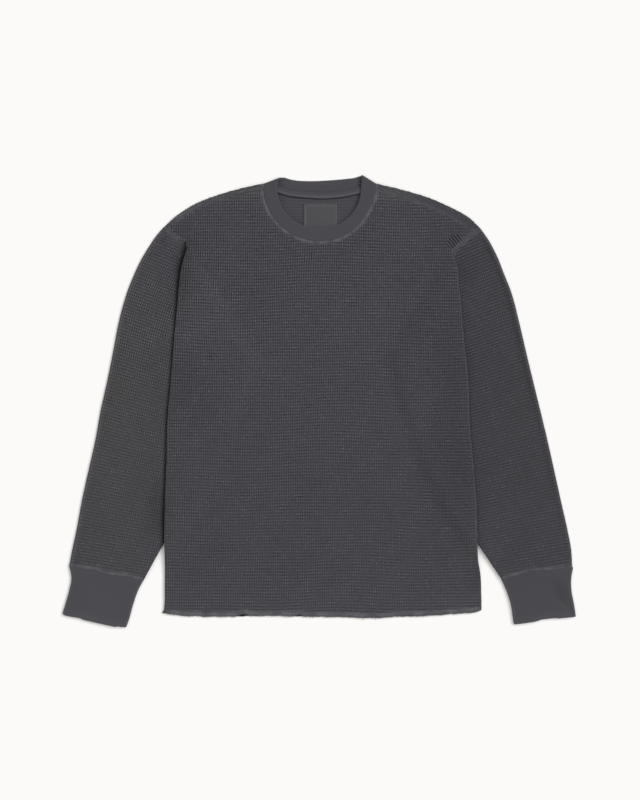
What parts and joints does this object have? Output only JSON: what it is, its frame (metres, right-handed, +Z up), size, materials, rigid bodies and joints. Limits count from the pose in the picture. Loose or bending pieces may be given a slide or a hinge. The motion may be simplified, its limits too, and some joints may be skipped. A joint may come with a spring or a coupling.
{
  "type": "long-sleeve thermal top",
  "caption": "Crew-neck waffle-knit top laid flat, long sleeves tucked under its sides, with ribbed cuffs, ribbed neckband and a raw hem.",
  "frame": {"origin": "on the surface the top lies on, below the middle of its outline", "axes": "+X towards the wearer's left sleeve, +Y towards the neck, +Z up out of the surface"},
  "size_m": [0.8474, 0.7481, 0.0104],
  "materials": {
    "waffle_knit": "washed charcoal waffle knit, matt",
    "rib_knit": "washed charcoal rib knit, matt",
    "label": "dark grey woven satin"
  },
  "bodies": {
    "root": {"front_panel": "waffle_knit", "back_panel": "waffle_knit", "sleeve_right": "waffle_knit", "sleeve_left": "waffle_knit", "cuff_right": "rib_knit", "cuff_left": "rib_knit", "neckband": "rib_knit", "neck_tape": "rib_knit", "neck_label": "label"}
  },
  "joints": []
}
